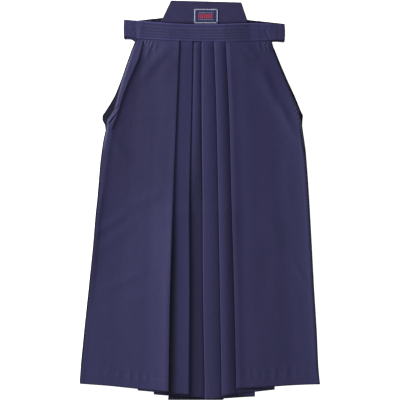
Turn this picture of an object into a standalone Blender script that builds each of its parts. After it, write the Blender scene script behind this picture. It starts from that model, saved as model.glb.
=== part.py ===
"""Hakama trousers laid flat and face up, the waist towards +Y and the underside on Z = 0.

Sizes here are in millimetres, and each mesh is made in metres. "Down" is the distance
towards the hem from a line that lies 2.1 mm below the board's highest corner. The cloth of
each front half is one strip that folds back and forth at its pleats, drawn as a section
across the garment and lofted from the waist to the hem. Every layer rests on the layers
that lie under it.
"""

import math

import bpy
import numpy as np

MM = 0.001
TOTAL_LENGTH = 1057.9
BOARD_RISE = 2.1
CLOTH = 1.0
GAP = 0.36
PITCH = CLOTH + GAP
FOLD_STEPS = 4
FOLD_REACH = PITCH / 2 + CLOTH / 2

# Stiff board, bands and ties at the waist
BOARD_THICK = 4.0
BAND_THICK = 2.0
TIE_THICK = 1.2
TIE_WIDTH = 45.0
WAIST_BED = BOARD_THICK + GAP + TIE_THICK + GAP

# Down positions of the front's cross sections, from under the band to just above the hem
FRONT_SECTIONS = (66, 86, 105, 132, 156, 208, 248, 286, 316, 340, 368, 430, 527, 560, 650, 765, 871, 965)
BAND_SECTIONS = FRONT_SECTIONS[:3]
SIDE_FOLD_SECTIONS = (106.5,) + FRONT_SECTIONS[3:10]

# Each pleat: the side its edge looks to, the edge's x at five distances down, and the
# depth of cloth folded under the edge at the band and at the hem
PLEAT_DOWN = (113, 288, 527, 765, 1017)
PLEATS = {
    "1": {"looks": 1, "edge": (-53.5, -60.7, -70.5, -77.9, -81.9), "depth": (58, 83)},
    "2": {"looks": 1, "edge": (-18.3, -23.5, -27.6, -26.9, -28.7), "depth": (60, 94)},
    "3": {"looks": -1, "edge": (6.6, 6.6, 9.2, 10.2, 14.9), "depth": (45, 50)},
    "4": {"looks": -1, "edge": (39.3, 45.1, 50.3, 54.5, 58.8), "depth": (62, 88)},
    "5": {"looks": -1, "edge": (69.4, 78.2, 84.5, 91.4, 97.0), "depth": (72, 102)},
}

# Side edges of the front and of the back: down, x
FRONT_LEFT_EDGE = (
    (66, -166.8), (105, -168.6), (132, -179.6), (156, -188), (208, -205.6), (248, -217.5), (286, -227),
    (316, -246.8), (340, -247.6), (368, -253), (430, -261.6), (527, -269.6), (560, -273), (650, -280.8),
    (765, -292.6), (871, -304), (965, -313.2), (1010, -318.3),
)
FRONT_RIGHT_EDGE = (
    (66, 190.5), (105, 190.6), (132, 197.6), (156, 207.4), (208, 229.2), (248, 245), (286, 261.5),
    (316, 268.5), (340, 270.8), (368, 275), (430, 281.6), (527, 288.2), (560, 290.2), (650, 295),
    (765, 301.4), (871, 308.2), (965, 312.6), (1012, 318.3),
)
BACK_LEFT_EDGE = (
    (95.3, -160), (106, -171.3), (129, -180.8), (160, -192), (208, -208.2), (248, -224), (265, -233.4),
    (290, -249), (303, -258), (316, -258), (328, -251.2), (342, -249.8), (368, -255.6), (395, -259.6),
    (430, -264), (475, -267.6), (527, -272), (560, -275.8), (650, -283.2), (765, -295), (871, -306.3),
    (965, -315.4), (1004, -318),
)
BACK_RIGHT_EDGE = (
    (95.3, 139), (103, 143), (106, 188), (129, 199), (160, 211.4), (208, 231.8), (248, 250.5), (265, 257.6),
    (290, 267.6), (303, 274), (316, 272.6), (328, 271.8), (342, 273.4), (368, 277.4), (395, 281),
    (430, 284), (475, 287.3), (527, 290.7), (560, 292.6), (650, 297.5), (765, 303.6), (871, 310.4),
    (965, 314.4), (1004, 317.8),
)

# Inner edge of the slanting folded strip at each side opening: down, x
SIDE_FOLD_LEFT = (
    (105, -150), (132, -156), (156, -163), (208, -186.5), (248, -202.5), (286, -214), (316, -223.5), (340, -233),
)
SIDE_FOLD_RIGHT = (
    (105, 172), (132, 180), (156, 191), (208, 214.5), (248, 229), (286, 246), (316, 256), (340, 260.5),
)

# How far down the hem lies where the strip of each front half turns
LEFT_TURNS = (("side", 1013.4), ("edge1", 1032.7), ("inside1", 1031.1), ("edge2", 1040.9),
              ("inside2", 1041.5), ("inside3", 1053.0))
RIGHT_TURNS = (("side", 1014.0), ("edge5", 1024.8), ("inside5", 1029.0), ("edge4", 1043.6),
               ("inside4", 1047.3), ("edge3", 1053.4), ("inside3", 1054.0))

# Places across each half, in the order met from its side towards the centre
LEFT_PLACES = ("side", "roll", "middle", "slope", "crest", "inside1", "inside2", "edge1",
               "edge2", "edge3", "edge4", "inside3")
RIGHT_PLACES = ("side", "roll", "middle", "slope", "crest", "inside5", "inside4", "edge5",
                "inside3", "edge4", "edge3")
ROLL_WIDTH = 6.0
SLOPE_AWAY = 32.0
CREST_AWAY = 14.0
LAYER_SPREAD = 60.0
BED_SPREAD = 60.0
WAIST_BED_END = 235.0

# Front band: x, down of its top edge, down of its bottom edge
BAND_EDGES = (
    (-168.8, 51.6, 99.5), (-65.0, 60.2, 105.5), (67.0, 61.2, 108.0), (140.0, 58.8, 106.6), (190.5, 59.8, 104.5),
)
# Fold at the end of each front tie, and where its hidden end lies: x, then down of the top edge
LEFT_TIE = {"fold": (-200.6, 49.6), "end": (-30.0, 66.0)}
RIGHT_TIE = {"fold": (225.0, 60.4), "end": (62.0, 66.0)}

# Back board: its four corners as x, down, and the straps beside it
BOARD_TOP = ((-76.1, -2.1), (110.2, 2.8))
BOARD_BASE = ((-122.2, 95.0), (141.2, 95.0))
LEFT_STRAP = {"top": 43.4, "fold": (-168.0, 51.4), "end": -124.0}
RIGHT_STRAP = {"top": 50.4, "fold": (221.0, 59.8), "end": 145.0}
LABEL = {"left": -15.1, "right": 48.5, "top": 20.4, "bottom": 59.5}

# Back panels: depth of the pleat beside the centre at the top and hem, and the hem's fall
BACK_SECTIONS = (95.3, 103, 106, 129, 160, 208, 248, 265, 290, 303, 316, 328, 342, 368, 395, 430, 475,
                 527, 560, 650, 765, 871, 965)
BACK_PLEAT_DEPTH = (42.0, 54.0)
BACK_HEM = {"side": 1004.0, "centre": 1046.0}
# Gusset between the legs: down, left x, right x
GUSSET_EDGES = ((566, -22, 14), (720, -45, 26), (900, -68, 44), (1055.8, -84, 61.5))
GUSSET_BED = (527, 560)

PANEL_COLOUR = "3B3A5C"
SHADE_COLOUR = "343352"
BOARD_COLOUR = "3B3A57"
LABEL_COLOUR = "2A2F57"


def linear_colour(code):
    """A hex sRGB colour as linear RGBA."""
    values = [int(code[i:i + 2], 16) / 255 for i in (0, 2, 4)]
    return [v / 12.92 if v <= 0.04045 else ((v + 0.055) / 1.055) ** 2.4 for v in values] + [1.0]


def cloth_material(name, code, roughness=0.75):
    """Smooth twill with a slight sheen, in one colour."""
    material = bpy.data.materials.new(name)
    material.use_nodes = True
    shader = material.node_tree.nodes["Principled BSDF"]
    shader.inputs["Base Color"].default_value = linear_colour(code)
    shader.inputs["Roughness"].default_value = roughness
    shader.inputs["Metallic"].default_value = 0.0
    shader.inputs["Sheen Weight"].default_value = 0.15
    return material


def along(table, position, column=1):
    """A table's column read at a position in its first column, straight between its rows."""
    return float(np.interp(position, [row[0] for row in table], [row[column] for row in table]))


def ease(start, end, value):
    """0 at the start and 1 at the end, with no kink at either."""
    share = min(max((value - start) / (end - start), 0.0), 1.0)
    return share * share * (3.0 - 2.0 * share)


def cover(x, low, high, spread):
    """1 where a layer lies, falling softly to 0 at a distance of spread from its edges."""
    return 1.0 - ease(0.0, spread, max(low - x, x - high, 0.0))


def pleat_places(down):
    """The x of every pleat's outer and inner turn at one distance down."""
    places = {}
    share = ease(PLEAT_DOWN[0], PLEAT_DOWN[-1], down)
    for name, pleat in PLEATS.items():
        edge = float(np.interp(down, PLEAT_DOWN, pleat["edge"]))
        depth = pleat["depth"][0] + (pleat["depth"][1] - pleat["depth"][0]) * share
        places["edge" + name] = edge - pleat["looks"] * FOLD_REACH
        places["inside" + name] = edge - pleat["looks"] * (depth - FOLD_REACH)
    return places


def half_places(down, left):
    """All named places across one front half, from its side edge to the centre."""
    places = pleat_places(down)
    outward = -1.0 if left else 1.0
    side = along(FRONT_LEFT_EDGE if left else FRONT_RIGHT_EDGE, down)
    deepest = places["inside1" if left else "inside5"]
    slope = deepest + outward * SLOPE_AWAY
    places.update(
        side=side,
        roll=side - outward * ROLL_WIDTH,
        middle=(side + slope) / 2,
        slope=slope,
        crest=deepest + outward * CREST_AWAY,
    )
    return places


def bed_height(x, down):
    """Height of what the front halves rest on: back panels, gusset, board, straps and ties."""
    places = pleat_places(down)
    centre = cover(x, places["edge1"] - 3.0, places["inside3"] + 3.0, BED_SPREAD)
    bed = PITCH * (1.0 + 2.0 * centre * (1.0 + ease(*GUSSET_BED, down)))
    waist = 1.0 - ease(BAND_SECTIONS[-1], WAIST_BED_END, down)
    return bed + max(0.0, WAIST_BED - bed) * waist


def runs_of(turns, order):
    """The places that each run of the strip passes, between one turn and the next."""
    runs = []
    for (start, _), (end, _) in zip(turns, turns[1:]):
        first, last = order.index(start), order.index(end)
        step = 1 if last > first else -1
        runs.append([order[i] for i in range(first, last + step, step)])
    return runs


def half_section(down, left):
    """One front half's runs at a distance down: each is a list of (place, x, z)."""
    turns, order = (LEFT_TURNS, LEFT_PLACES) if left else (RIGHT_TURNS, RIGHT_PLACES)
    places = half_places(down, left)
    names = runs_of(turns, order)
    spans = [(min(places[n] for n in run), max(places[n] for n in run)) for run in names]
    if not left:
        spans.append((places["inside2"], places["inside3"]))
    section = []
    for number, run in enumerate(names):
        points = []
        for name in run:
            x = places[name]
            layers = sum(cover(x, low, high, LAYER_SPREAD) for low, high in spans[number + 1:])
            points.append((name, x, bed_height(x, down) + CLOTH / 2 + PITCH * layers))
        section.append(points)
    return section


def folded(runs):
    """Join straight runs of (x, down, z) points by half turns.

    Gives rows of x, down, z and the two parts of the cloth's normal across the garment.
    """
    points = []
    for number, run in enumerate(runs):
        way = 1.0 if run[-1][0] > run[0][0] else -1.0
        points += [(x, down, z, 0.0, way) for x, down, z in run]
        if number + 1 == len(runs):
            break
        x, down, z = run[-1]
        rise = runs[number + 1][0][2] - z
        turn = math.copysign(1.0, rise)
        for step in range(1, FOLD_STEPS):
            angle = turn * (math.pi * step / FOLD_STEPS - math.pi / 2)
            across, up = way * math.cos(angle), math.sin(angle)
            points.append((
                x + across * abs(rise) / 2, down, z + rise / 2 + up * abs(rise) / 2,
                -turn * math.cos(angle), -turn * way * up,
            ))
    return points


def wall_faces(shape, x):
    """Triangles of a closed wall: an outer grid, an inner grid and the strip round them.

    Each cell is cut along the same diagonal as seen from above, so that layers which
    lie on each other bend alike.
    """
    rows, columns = shape
    half = rows * columns
    faces = []
    for i in range(rows - 1):
        for j in range(columns - 1):
            a, b = i * columns + j, i * columns + j + 1
            c, d = b + columns, a + columns
            cut = [(a, b, c), (a, c, d)] if x[i][j + 1] > x[i][j] else [(a, b, d), (b, c, d)]
            faces += cut
            faces += [(p + half, r + half, q + half) for p, q, r in cut]
    rim = [j for j in range(columns)]
    rim += [i * columns + columns - 1 for i in range(1, rows)]
    rim += [(rows - 1) * columns + j for j in range(columns - 2, -1, -1)]
    rim += [i * columns for i in range(rows - 2, 0, -1)]
    for p, q in zip(rim, rim[1:] + rim[:1]):
        faces += [(q, p, p + half), (q, p + half, q + half)]
    return faces


def cloth_wall(name, sections, thick, material):
    """A wall of even thickness about a grid of points given section by section."""
    grid = np.array(sections, dtype=float)
    offset = np.zeros(grid.shape[:2] + (3,))
    offset[..., 0] = grid[..., 3] * thick / 2
    offset[..., 2] = grid[..., 4] * thick / 2
    middle = np.stack([grid[..., 0], TOTAL_LENGTH / 2 - BOARD_RISE - grid[..., 1], grid[..., 2]], axis=-1)
    points = np.concatenate([(middle + offset).reshape(-1, 3), (middle - offset).reshape(-1, 3)])
    faces = np.array(wall_faces(grid.shape[:2], grid[..., 0]))
    if np.linalg.det(points[faces]).sum() < 0:
        faces = faces[:, ::-1]
    mesh = bpy.data.meshes.new(name)
    mesh.from_pydata((points * MM).tolist(), [], faces.tolist())
    mesh.shade_smooth()
    mesh.set_sharp_from_angle(angle=math.radians(50))
    mesh.materials.append(material)
    piece = bpy.data.objects.new(name, mesh)
    bpy.context.scene.collection.objects.link(piece)
    return piece


def front_half(name, left, material):
    """One half of the pleated front, from under the band to its stepped hem."""
    turns = LEFT_TURNS if left else RIGHT_TURNS
    sections = []
    for down in FRONT_SECTIONS:
        runs = half_section(down, left)
        sections.append(folded([[(x, down, z) for _, x, z in run] for run in runs]))
    hem_runs = []
    for run, (_, start), (_, end) in zip(half_section(turns[0][1], left), turns, turns[1:]):
        first, last = run[0][1], run[-1][1]
        hem_runs.append([
            (x, start + (end - start) * (x - first) / (last - first), z) for _, x, z in run
        ])
    sections.append(folded(hem_runs))
    return cloth_wall(name, sections, CLOTH, material)


def side_fold(name, left, material):
    """The slanting strip folded over the front's edge, lying on the panel."""
    table = SIDE_FOLD_LEFT if left else SIDE_FOLD_RIGHT
    sections = []
    for down in SIDE_FOLD_SECTIONS:
        panel = sorted((x, z) for _, x, z in half_section(down, left)[0])
        outer = along(FRONT_LEFT_EDGE if left else FRONT_RIGHT_EDGE, down)
        row = []
        for x in np.linspace(outer, along(table, down), 4):
            z = float(np.interp(x, [p[0] for p in panel], [p[1] for p in panel])) + PITCH
            row.append((float(x), down, z, 0.0, 1.0))
        sections.append(row)
    return cloth_wall(name, sections, CLOTH, material)


def band_base(down):
    """(x, z) of the middle of the cloth under the band, across the whole waist."""
    left, right = half_section(down, True), half_section(down, False)
    tops = {x: z for run in (left[4], left[2], left[0]) for _, x, z in run}
    tops.update({x: z for run in (right[4], right[2], right[0]) for _, x, z in run})
    return sorted(tops.items())


def front_band(name, material):
    """The waist band, following the pleats that it covers."""
    sections = []
    for number, down in enumerate(BAND_SECTIONS):
        share = number / (len(BAND_SECTIONS) - 1)
        row = []
        for x, z in band_base(down):
            x = min(max(x, BAND_EDGES[0][0]), BAND_EDGES[-1][0])
            top, bottom = along(BAND_EDGES, x), along(BAND_EDGES, x, 2)
            row.append((x, top + (bottom - top) * share, z + CLOTH / 2 + GAP + BAND_THICK / 2, 0.0, 1.0))
        sections.append(row)
    return cloth_wall(name, sections, BAND_THICK, material)


def front_tie(name, tie, left, material):
    """A tie that runs on from the band's end, turns back, and lies behind the front."""
    outward = -1.0 if left else 1.0
    band_end = BAND_EDGES[0] if left else BAND_EDGES[-1]
    high = band_base(BAND_SECTIONS[0])[0 if left else -1][1] + CLOTH / 2 + GAP + BAND_THICK / 2
    low = BOARD_THICK + GAP + TIE_THICK / 2
    reach = (high - low) / 2 + TIE_THICK / 2
    start = band_end[0] + outward * 0.3
    turn = tie["fold"][0] - outward * reach
    half_way = (turn + tie["end"][0]) / 2
    sections = []
    for share in (0.0, 0.5, 1.0):
        fold_down = tie["fold"][1] + share * (TIE_WIDTH + 1.0)
        start_down = band_end[1] + share * (band_end[2] - band_end[1])
        end_down = tie["end"][1] + share * (TIE_WIDTH - 8.0)
        upper = [(start, start_down, high), ((start + turn) / 2, (start_down + fold_down) / 2, high),
                 (turn, fold_down, high)]
        lower = [(turn, fold_down, low), (half_way, (fold_down + end_down) / 2, low),
                 (tie["end"][0], end_down, low)]
        sections.append(folded([upper, lower]))
    return cloth_wall(name, sections, TIE_THICK, material)


def board_side(down, side):
    """The x of the line along the board's left (0) or right (1) edge at a distance down."""
    (top_x, top), (base_x, base) = BOARD_TOP[side], BOARD_BASE[side]
    return top_x + (base_x - top_x) * (down - top) / (base - top)


def back_board(name, material):
    """The stiff board, a little skewed, wider at its base."""
    sections = []
    for share in (0.0, 0.35, 0.7, 1.0):
        row = []
        for across in np.linspace(0.0, 1.0, 5):
            top = [BOARD_TOP[0][i] + (BOARD_TOP[1][i] - BOARD_TOP[0][i]) * across for i in (0, 1)]
            base = [BOARD_BASE[0][i] + (BOARD_BASE[1][i] - BOARD_BASE[0][i]) * across for i in (0, 1)]
            x, down = (float(t + (b - t) * share) for t, b in zip(top, base))
            row.append((x, down, BOARD_THICK / 2, 0.0, 1.0))
        sections.append(row)
    return cloth_wall(name, sections, BOARD_THICK, material)


def back_strap(name, strap, left, material):
    """The strap beside the board, turned back on itself behind the band."""
    outward = -1.0 if left else 1.0
    low = TIE_THICK / 2
    high = low + TIE_THICK + GAP
    turn = strap["fold"][0] - outward * ((high - low) / 2 + TIE_THICK / 2)
    sections = []
    for share in (0.0, 1.0):
        start_down = strap["top"] + share * (TIE_WIDTH - 1.0)
        fold_down = strap["fold"][1] + share * (TIE_WIDTH - 4.0)
        start = board_side(start_down, 0 if left else 1) + outward * 0.35
        end_share = (strap["end"] - start) / (turn - start)
        end_down = start_down + (fold_down - start_down) * end_share
        lower = [(start, start_down, low), (turn, fold_down, low)]
        upper = [(turn, fold_down, high), (strap["end"], end_down, high)]
        sections.append(folded([lower, upper]))
    return cloth_wall(name, sections, TIE_THICK, material)


def label_patch(name, material):
    """A plain woven patch lying on the board."""
    z = BOARD_THICK + GAP + CLOTH / 2
    sections = [
        [(x, down, z, 0.0, 1.0) for x in (LABEL["left"], LABEL["right"])]
        for down in (LABEL["top"], LABEL["bottom"])
    ]
    return cloth_wall(name, sections, CLOTH, material)


def back_half(name, left, material):
    """One back panel: flat on the ground, then folded up into a pleat beside the centre."""
    outward = -1.0 if left else 1.0
    edge = BACK_LEFT_EDGE if left else BACK_RIGHT_EDGE
    centre = outward * (FOLD_REACH + GAP / 2)
    sections = []
    for down in BACK_SECTIONS + (BACK_HEM["side"],):
        last = down == BACK_HEM["side"]
        depth = BACK_PLEAT_DEPTH[0] + (BACK_PLEAT_DEPTH[1] - BACK_PLEAT_DEPTH[0]) * down / TOTAL_LENGTH
        inside = outward * (depth - FOLD_REACH)
        side = along(edge, down)
        low = BACK_HEM["centre"] if last else down
        floor = [(side, down, 0), ((side + inside) / 2, (down + low) / 2, 0), (inside, low, 0), (centre, low, 0)]
        pleat = [(centre, low, 1), (inside, low, 1)]
        inner = [(inside, low, 2), (centre, low, 2)]
        runs = [[(x, d, CLOTH / 2 + PITCH * level) for x, d, level in run] for run in (floor, pleat, inner)]
        sections.append(folded(runs))
    return cloth_wall(name, sections, CLOTH, material)


def gusset(name, material):
    """The piece between the legs, lying folded double on the back panels' pleats."""
    sections = []
    for down, left, right in GUSSET_EDGES:
        turn = right - FOLD_REACH
        runs = []
        for level, ends in ((3, (left, turn)), (4, (turn, left))):
            xs = np.linspace(ends[0], ends[1], 4)
            runs.append([(float(x), down, CLOTH / 2 + PITCH * level) for x in xs])
        sections.append(folded(runs))
    return cloth_wall(name, sections, CLOTH, material)


def main():
    for piece in list(bpy.data.objects):
        bpy.data.objects.remove(piece)
    panel = cloth_material("panel_cloth", PANEL_COLOUR)
    shade = cloth_material("inner_cloth", SHADE_COLOUR)
    stiff = cloth_material("board_cloth", BOARD_COLOUR, 0.7)
    patch = cloth_material("label_weave", LABEL_COLOUR, 0.6)
    front_half("front_left", True, panel)
    front_half("front_right", False, panel)
    side_fold("side_fold_left", True, panel)
    side_fold("side_fold_right", False, panel)
    front_band("front_band", panel)
    front_tie("front_tie_left", LEFT_TIE, True, panel)
    front_tie("front_tie_right", RIGHT_TIE, False, panel)
    back_board("back_board", stiff)
    back_strap("back_tie_left", LEFT_STRAP, True, shade)
    back_strap("back_tie_right", RIGHT_STRAP, False, shade)
    label_patch("label_patch", patch)
    back_half("back_left", True, shade)
    back_half("back_right", False, shade)
    gusset("gusset", shade)


main()
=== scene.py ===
"""Hakama trousers laid flat: cloth, stitching, board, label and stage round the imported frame.

Lengths here are millimetres until a mesh is made. "Down" is the distance towards the hem from
a line that lies 2.1 mm below the back board's highest corner. Each front half is one strip of
cloth that folds back and forth at its pleats; its surface is a function of the way along the
strip and of down.
"""

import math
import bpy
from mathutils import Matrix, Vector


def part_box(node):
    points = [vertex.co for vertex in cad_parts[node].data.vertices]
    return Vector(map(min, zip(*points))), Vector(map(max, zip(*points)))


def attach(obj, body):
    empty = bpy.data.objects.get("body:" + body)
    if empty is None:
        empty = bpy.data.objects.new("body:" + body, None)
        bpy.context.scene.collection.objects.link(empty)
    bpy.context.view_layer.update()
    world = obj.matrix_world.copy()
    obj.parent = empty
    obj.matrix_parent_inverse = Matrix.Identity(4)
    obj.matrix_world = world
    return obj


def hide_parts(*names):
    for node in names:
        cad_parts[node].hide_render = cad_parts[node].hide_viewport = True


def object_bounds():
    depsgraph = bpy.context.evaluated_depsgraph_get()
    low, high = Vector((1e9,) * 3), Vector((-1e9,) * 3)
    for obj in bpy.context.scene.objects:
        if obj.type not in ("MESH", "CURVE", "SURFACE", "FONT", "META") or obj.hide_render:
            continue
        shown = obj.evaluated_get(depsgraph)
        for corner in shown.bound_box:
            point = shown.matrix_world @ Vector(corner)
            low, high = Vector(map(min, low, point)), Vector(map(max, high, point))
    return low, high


bl_info = {
    "name": "Hakama Trousers",
    "version": (1, 0, 0),
    "blender": (4, 5, 0),
    "location": "3D View > Sidebar > Hakama",
    "description": "Builds pleated hakama trousers laid flat, with bands, ties, board and stitching",
    "category": "Object",
}

import bpy
import numpy as np
from bpy.props import FloatProperty, FloatVectorProperty, PointerProperty

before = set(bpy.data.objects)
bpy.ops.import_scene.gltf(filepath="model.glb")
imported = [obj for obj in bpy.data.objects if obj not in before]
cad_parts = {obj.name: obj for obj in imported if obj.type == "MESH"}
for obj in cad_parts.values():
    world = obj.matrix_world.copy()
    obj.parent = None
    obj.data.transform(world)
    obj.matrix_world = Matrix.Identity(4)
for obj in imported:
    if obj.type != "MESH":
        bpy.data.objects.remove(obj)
CAD_LOW, CAD_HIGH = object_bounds()

MM = 0.001
BODY = "root"
TOTAL_LENGTH = (CAD_HIGH[1] - CAD_LOW[1]) / MM
BOARD_RISE = 2.1
TOP_Y = CAD_HIGH[1] / MM - BOARD_RISE


def node_span(node, axis):
    """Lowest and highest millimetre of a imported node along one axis."""
    low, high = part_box(node)
    return low[axis] / MM, high[axis] / MM


BOARD_THICK = node_span("back_board", 2)[1]
LABEL_LEFT, LABEL_RIGHT = node_span("label_patch", 0)
LABEL_LOW_Y, LABEL_HIGH_Y = node_span("label_patch", 1)

# Tables of both sides hold the left of the picture under True and the right under False
SIDES = (("left", True), ("right", False))
INWARD = {True: 1.0, False: -1.0}
OUTER_PLEAT = {True: "1", False: "5"}

# Layers: the height of one with its air, the air, a layer's middle and the thickness of shown cloth
PITCH = 1.36
LAYER_AIR = 0.36
LAYER_MIDDLE = 0.5
SHOWN_CLOTH = 0.8
# How far past a layer's edge what lies on it comes down, how far a rounded fold reaches past its
# turn, and how far the layers at the centre reach past the pleats there
LAYER_SPREAD = 60.0
FOLD_REACH = 1.18
CENTRE_MARGIN = 3.0
TIE_THICK = 1.2
# Under the band the front lies on board, strap and tie, and comes down to the back panels below
BAND_END = 105.0
WAIST_BED = BOARD_THICK + TIE_THICK + 2 * LAYER_AIR
WAIST_BED_END = 235.0

# Pleats: which way the edge looks (1 is right), the edge's x at five places, depth at band and hem
PLEAT_DOWN = (113, 288, 527, 765, 1017)
PLEATS = {
    "1": {"looks": 1, "edge": (-53.5, -60.7, -70.5, -77.9, -81.9), "depth": (58, 83)},
    "2": {"looks": 1, "edge": (-18.3, -21.8, -27.6, -26.9, -28.7), "depth": (60, 94)},
    "3": {"looks": -1, "edge": (6.6, 6.6, 9.2, 10.2, 14.9), "depth": (45, 50)},
    "4": {"looks": -1, "edge": (39.3, 45.1, 50.3, 54.5, 58.8), "depth": (62, 88)},
    "5": {"looks": -1, "edge": (69.4, 78.2, 84.5, 91.4, 97.0), "depth": (72, 102)},
}

# Side edges: down, x
FRONT_EDGES = {True: (
    (66, -166.8), (105, -168.6), (132, -179.6), (156, -188), (208, -205.6), (248, -217.5), (286, -227),
    (316, -246.8), (340, -247.6), (368, -253), (430, -261.6), (527, -269.6), (560, -273), (650, -280.8),
    (765, -292.6), (871, -304), (965, -313.2), (1010, -318.3),
), False: (
    (66, 190.5), (105, 190.6), (132, 197.6), (156, 207.4), (208, 229.2), (248, 245), (286, 261.5),
    (316, 268.5), (340, 270.8), (368, 275), (430, 281.6), (527, 288.2), (560, 290.2), (650, 295),
    (765, 301.4), (871, 308.2), (965, 312.6), (1012, 318.3),
)}
BACK_EDGES = {True: (
    (95.3, -160), (106, -171.3), (129, -180.8), (160, -192), (208, -208.2), (248, -224), (265, -233.4),
    (290, -249), (303, -258), (316, -258), (328, -251.2), (342, -249.8), (368, -255.6), (395, -259.6),
    (430, -264), (475, -267.6), (527, -272), (560, -275.8), (650, -283.2), (765, -295), (871, -306.3),
    (965, -315.4), (1004, -318),
), False: (
    (95.3, 139), (103, 143), (106, 188), (129, 199), (160, 211.4), (208, 231.8), (248, 250.5),
    (265, 257.6),
    (290, 267.6), (303, 274), (316, 272.6), (328, 271.8), (342, 273.4), (368, 277.4), (395, 281),
    (430, 284), (475, 287.3), (527, 290.7), (560, 292.6), (650, 297.5), (765, 303.6), (871, 310.4),
    (965, 314.4), (1004, 317.8),
)}
# Inner edges of the folded strips at the side openings, where those strips start and end, and how
# far down the openings go
SIDE_FOLDS = {True: (
    (105, -150), (132, -156), (156, -163), (208, -186.5), (248, -202.5), (286, -214), (316, -223.5),
    (340, -233),
), False: (
    (105, 172), (132, 180), (156, 191), (208, 214.5), (248, 229), (286, 246), (316, 256), (340, 260.5),
)}
SIDE_FOLD_SPAN = (106.5, 339.0)
OPENING_END = 335.0

# The strip of each front half: its turns, how far down the hem lies there, the samples of each run,
# what lies under its end, the pleats that a shown run lies between and the fold that a run meets
STRIPS = {True: {
    "turns": ("side", "edge1", "inside1", "edge2", "inside2", "inside3"),
    "hem": (1013.4, 1032.7, 1031.1, 1040.9, 1041.5, 1053.0),
    "samples": (76, 9, 34, 9, 36),
    "under": (),
    "between": {2: "12", 4: "23"},
    "folds": {1: "1", 2: "2", 3: "2"},
}, False: {
    "turns": ("side", "edge5", "inside5", "edge4", "inside4", "edge3", "inside3"),
    "hem": (1014.0, 1024.8, 1029.0, 1043.6, 1047.3, 1053.4, 1054.0),
    "samples": (76, 9, 32, 9, 32, 8),
    "under": (("inside2", "inside3"),),
    "between": {2: "45", 4: "34"},
    "folds": {1: "5", 2: "4", 3: "4", 4: "3", 5: "3"},
}}
# The side and run that lie on top, from the left of pleat 1 to the right of pleat 5
WAIST_RUNS = ((True, 0), (True, 2), (False, 4), (False, 4), (False, 2), (False, 0))
FRONT_TOP = 66.0
HEM_START = 985.0
FOLD_STEPS = 8

# How far each pleat's fold stands off what lies under it, near the band and at the hem, and how
# far the strip puffs up between its own edge and the next one and falls away to the right. This
# changes over GROWTH, and in one strip over a span of its own
GROWTH = (150, 900)
STANDS = {"1": (3.2, 8.6), "2": (1.9, 4.4), "3": (1.6, 2.0), "4": (1.8, 2.4), "5": (1.4, 1.8)}
PUFFS = {"12": (1.0, 0.7), "23": (3.4, 0.3), "34": (2.3, 2.8), "45": (2.3, 3.1)}
PUFF_SPANS = {"23": (390, 600)}
TILTS = {"12": 1.4, "23": 1.2, "34": 2.4, "45": 1.4}
# How soon a stand falls off, what the run under a fold gets of it, and by what share and reach the
# strip beside a high fold follows it
STAND_REACH = 17.0
STAND_SHARE = 0.72
FOLLOWS = {"1": (0.5, 24.0), "2": (0.45, 18.0)}
# Where relief starts below the band, and the heights and reaches of the rolls at the panels' sides
RELIEF_START = (97.0, 122.0)
SIDE_ROLLS = {True: ((4.4, 16.0), (2.0, 50.0)), False: ((6.2, 26.0),)}

# Soft ridges of the panels: x and down at both ends, half width, height
CREASES = {True: (
    (-80, 122, -152, 206, 15, 2.3),
    (-60, 150, -112, 215, 18, 0.9),
    (-185, 307, -70, 300, 8, 0.5),
    (-192, 545, -92, 498, 12, 0.8),
    (-288, 620, -196, 560, 9, 1.3),
    (-268, 655, -180, 592, 14, 0.9),
    (-262, 765, -150, 716, 11, 0.9),
    (-210, 800, -120, 775, 12, 0.5),
    (-240, 345, -190, 420, 14, 1.1),
    (-120, 380, -95, 470, 20, 0.7),
    (-128, 112, -140, 150, 5, 1.2),
    (-112, 108, -120, 132, 4.5, 0.9),
), False: (
    (92, 128, 176, 212, 20, 1.5),
    (166, 190, 240, 328, 15, 2.5),
    (215, 275, 262, 372, 9, 1.2),
    (247, 691, 300, 768, 8, 1.3),
    (120, 240, 150, 420, 26, 0.9),
    (170, 560, 215, 640, 22, 0.8),
    (232, 420, 250, 600, 18, 0.9),
    (110, 640, 135, 900, 24, 0.7),
    (205, 700, 180, 940, 26, 0.7),
    (160, 760, 205, 800, 9, 0.5),
    (152, 106, 163, 128, 4.5, 1.2),
    (166, 104, 178, 134, 4, 1.5),
    (179, 112, 187, 136, 3.5, 1.1),
    (118, 118, 150, 150, 8, 0.9),
)}

# Front band: x, down of its top edge, down of its bottom edge
BAND_EDGES = (
    (-168.8, 51.6, 99.5), (-65.0, 60.2, 105.5), (67.0, 61.2, 108.0), (140.0, 58.8, 106.6),
    (190.5, 59.8, 104.5),
)
BAND_THICK = 2.0
BAND_GAP = 1.1
# Stitch rows as shares of the band's height, and the x where they start and end
BAND_STITCH_ROWS = (0.15, 0.38, 0.54, 0.70, 0.87)
STITCHED_FROM, STITCHED_TO = -147.0, 136.0
# Soft folds of the band and ties, near its ends: x and down at both ends, half width, height
BAND_FOLDS = (
    (-194, 52, -195, 96, 3.4, 0.6), (-194, 69, -148, 70, 3.6, 0.5), (-172, 60, -163, 99, 4.0, -0.5),
    (-153, 58, -158, 100, 4.5, 0.4), (-186, 84, -160, 80, 5.0, -0.3), (132, 60, 136, 106, 5.0, -0.5),
    (150, 60, 158, 104, 8.0, 0.45), (173, 76, 187, 103, 3.2, -0.7), (186, 68, 192, 84, 4.5, 0.6),
    (205, 62, 211, 104, 5.0, -0.4), (194, 90, 216, 95, 4.0, 0.4), (160, 78, 176, 66, 4.0, 0.3),
)
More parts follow.
